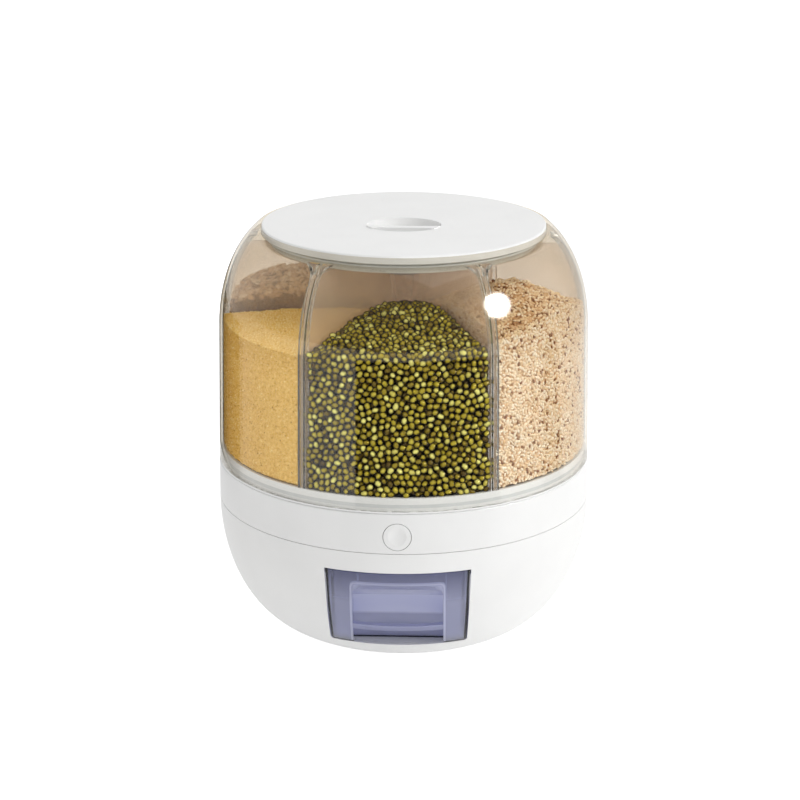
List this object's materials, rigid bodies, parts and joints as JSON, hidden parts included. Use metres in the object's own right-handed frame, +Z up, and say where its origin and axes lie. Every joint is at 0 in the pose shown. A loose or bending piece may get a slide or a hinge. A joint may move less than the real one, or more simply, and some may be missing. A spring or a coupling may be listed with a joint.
{
  "type": "rotating grain dispenser",
  "caption": "Round counter-top dry food dispenser: clear domed turning barrel with compartments, push-button gate, pull-out measuring cup and lift-off lid.",
  "frame": {"origin": "centre of the bounding box's bottom face, on the counter under the middle of the feet", "axes": "+Z up along the barrel's turning axis, the front with its button and cup faces -Y, +X to the viewer's right"},
  "size_m": [0.2668, 0.2668, 0.2949],
  "materials": {
    "white_plastic": "glossy moulded white",
    "clear_plastic": "clear and polished",
    "clear_divider_plastic": "clear, slightly hazy",
    "tinted_plastic": "clear with a blue-grey tint",
    "bearing_plastic": "matt natural acetal",
    "seal_silicone": "soft translucent silicone",
    "grey_rubber": "matt",
    "screw_steel": "zinc-plated",
    "spindle_steel": "turned and polished",
    "spring_steel": "drawn wire",
    "mung_bean": "smooth dry beans",
    "corn_meal": "fine dry meal",
    "brown_rice": "dry grains",
    "rolled_oat": "dry flakes",
    "red_rice": "dry grains",
    "barley": "dry grains"
  },
  "bodies": {
    "base": {"lower_bowl": "white_plastic", "upper_housing": "white_plastic", "bottom_cover": "white_plastic", "rubber_feet": "grey_rubber", "bottom_cover_screws": "screw_steel", "housing_screws": "screw_steel", "cup_bay": "white_plastic", "cup_bay_screws": "screw_steel", "spindle": "spindle_steel", "spindle_washer": "spindle_steel", "spindle_nut": "spindle_steel", "glide_ring": "bearing_plastic", "outlet_gasket": "seal_silicone", "outlet_chute": "white_plastic", "chute_screws": "screw_steel", "gate_rails": "bearing_plastic", "gate_rail_screws": "screw_steel", "gate_springs": "spring_steel", "button_sleeve": "bearing_plastic"},
    "barrel": {"clear_barrel": "clear_plastic", "divider_insert": "clear_divider_plastic", "floor_tray": "white_plastic", "tray_seal": "seal_silicone", "barrel_bush": "bearing_plastic", "hub_screws": "screw_steel", "hub_cap": "clear_divider_plastic", "mung_bean_fill": "mung_bean", "corn_meal_fill": "corn_meal", "brown_rice_fill": "brown_rice", "rolled_oat_fill": "rolled_oat", "red_rice_fill": "red_rice", "barley_fill": "barley"},
    "lid": {"lid_cap": "white_plastic", "lid_seal": "seal_silicone"},
    "button": {"button_cap": "white_plastic", "button_screw": "screw_steel", "gate_plate": "bearing_plastic"},
    "cup": {"measuring_cup": "tinted_plastic"}
  },
  "joints": [
    {"name": "barrel_turn", "type": "hinge", "parent": "base", "child": "barrel", "pos_m": [0, 0, 0.1236], "axis": [0, 0, 1], "continuous": true},
    {"name": "lid_lift", "type": "slide", "parent": "barrel", "child": "lid", "axis": [0, 0, 1], "range_m": [0, 0.06]},
    {"name": "button_press", "type": "slide", "parent": "base", "child": "button", "axis": [0, 1, 0], "range_m": [0, 0.012], "stiffness_N_per_m": 200, "springref_m": -0.006, "deforming": ["gate_springs"]},
    {"name": "cup_pull", "type": "slide", "parent": "base", "child": "cup", "axis": [0, -1, 0], "range_m": [0, 0.1]}
  ]
}
